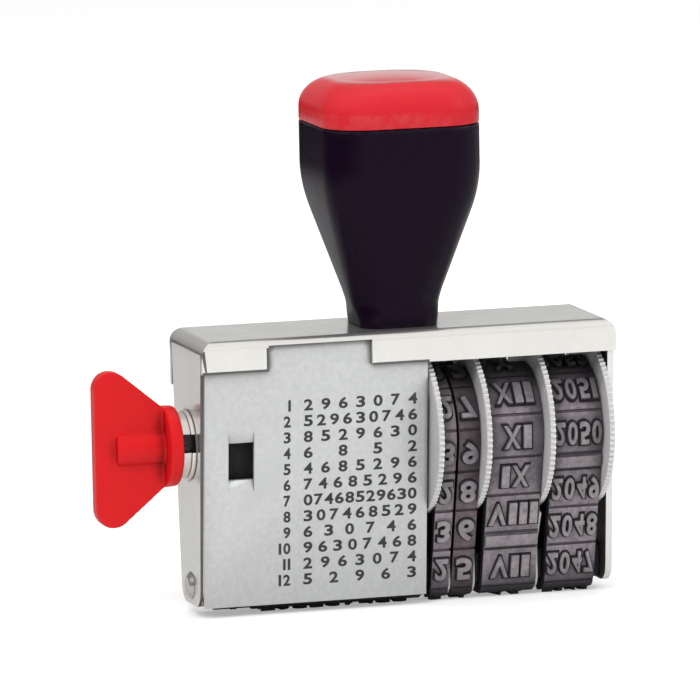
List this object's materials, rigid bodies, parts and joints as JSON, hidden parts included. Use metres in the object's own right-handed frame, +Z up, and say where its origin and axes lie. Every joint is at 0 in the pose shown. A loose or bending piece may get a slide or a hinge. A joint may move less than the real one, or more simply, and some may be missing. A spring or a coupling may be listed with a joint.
{
  "type": "date stamp",
  "caption": "Hand date stamp with a grip handle on a sheet-metal frame, rubber type bands on thumb wheels, and a side knob that turns a phrase band behind a cover plate.",
  "frame": {"origin": "middle of the printing plane, below the grip's axis", "axes": "+X along the frame towards the date bands, -Y the front with the cover plate, +Z up along the grip"},
  "size_m": [0.0746, 0.0236, 0.0746],
  "materials": {
    "nickel_steel": "satin nickel plate",
    "cover_aluminium": "fine satin",
    "shaft_steel": "bright steel",
    "black_plastic": "semi-gloss black",
    "red_plastic": "semi-gloss red",
    "rubber": "matt grey-black",
    "drum_plastic": "matt"
  },
  "bodies": {
    "frame": {"frame": "nickel_steel", "cover_plate": "cover_aluminium", "bridge_bar": "shaft_steel", "bridge_rivets": "nickel_steel", "band_guides": "nickel_steel", "band_stays": "shaft_steel", "handle": "black_plastic", "handle_cap": "red_plastic", "handle_screw": "shaft_steel", "handle_washer": "shaft_steel", "knob_bush": "nickel_steel", "shaft_bush": "nickel_steel", "phrase_band": "rubber", "day_tens_band": "rubber", "day_units_band": "rubber", "month_band": "rubber", "year_band": "rubber"},
    "phrase_drive": {"drive_shaft": "shaft_steel", "knob": "red_plastic", "thrust_collar": "nickel_steel", "collar_screw": "shaft_steel", "phrase_drum": "drum_plastic", "drum_pin": "shaft_steel", "retaining_ring": "shaft_steel", "wheel_washers": "shaft_steel"},
    "day_tens_wheel": {"day_tens_disc": "nickel_steel", "day_tens_drum": "drum_plastic"},
    "day_units_wheel": {"day_units_disc": "nickel_steel", "day_units_drum": "drum_plastic"},
    "month_wheel": {"month_disc": "nickel_steel", "month_drum": "drum_plastic"},
    "year_wheel": {"year_disc": "nickel_steel", "year_drum": "drum_plastic"}
  },
  "joints": [
    {"name": "phrase_knob_turn", "type": "hinge", "parent": "frame", "child": "phrase_drive", "pos_m": [0, 0, 0.024], "axis": [1, 0, 0], "continuous": true},
    {"name": "day_tens_turn", "type": "hinge", "parent": "frame", "child": "day_tens_wheel", "pos_m": [0, 0, 0.024], "axis": [1, 0, 0], "continuous": true},
    {"name": "day_units_turn", "type": "hinge", "parent": "frame", "child": "day_units_wheel", "pos_m": [0, 0, 0.024], "axis": [1, 0, 0], "continuous": true},
    {"name": "month_turn", "type": "hinge", "parent": "frame", "child": "month_wheel", "pos_m": [0, 0, 0.024], "axis": [1, 0, 0], "continuous": true},
    {"name": "year_turn", "type": "hinge", "parent": "frame", "child": "year_wheel", "pos_m": [0, 0, 0.024], "axis": [1, 0, 0], "continuous": true}
  ]
}
